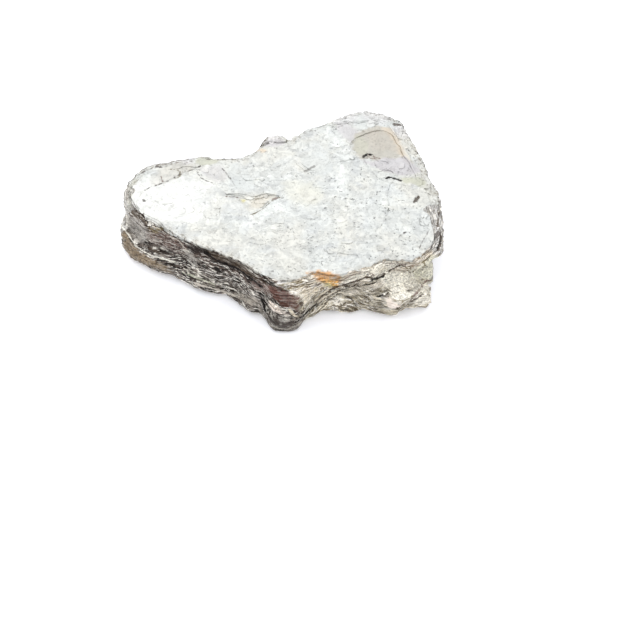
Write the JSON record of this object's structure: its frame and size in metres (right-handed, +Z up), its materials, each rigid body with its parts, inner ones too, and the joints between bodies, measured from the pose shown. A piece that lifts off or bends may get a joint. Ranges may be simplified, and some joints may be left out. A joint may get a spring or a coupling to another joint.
{
  "type": "mica crystal",
  "caption": "Slab-shaped book of silvery mica with broken, layered edges and a stepped cleavage face, lying on its flat underside.",
  "frame": {"origin": "on the flat underside, below the middle of the book's bounding box", "axes": "+Z up, across the sheets; +X along the book's length, from its narrow left tip to its broad right end; -Y is the front"},
  "size_m": [0.0656, 0.0546, 0.012],
  "materials": {
    "mica": "pearly silver-white cleavage face, with dull grey-brown broken sheet edges and ochre stains"
  },
  "bodies": {
    "root": {"mica_crystal": "mica"}
  },
  "joints": []
}
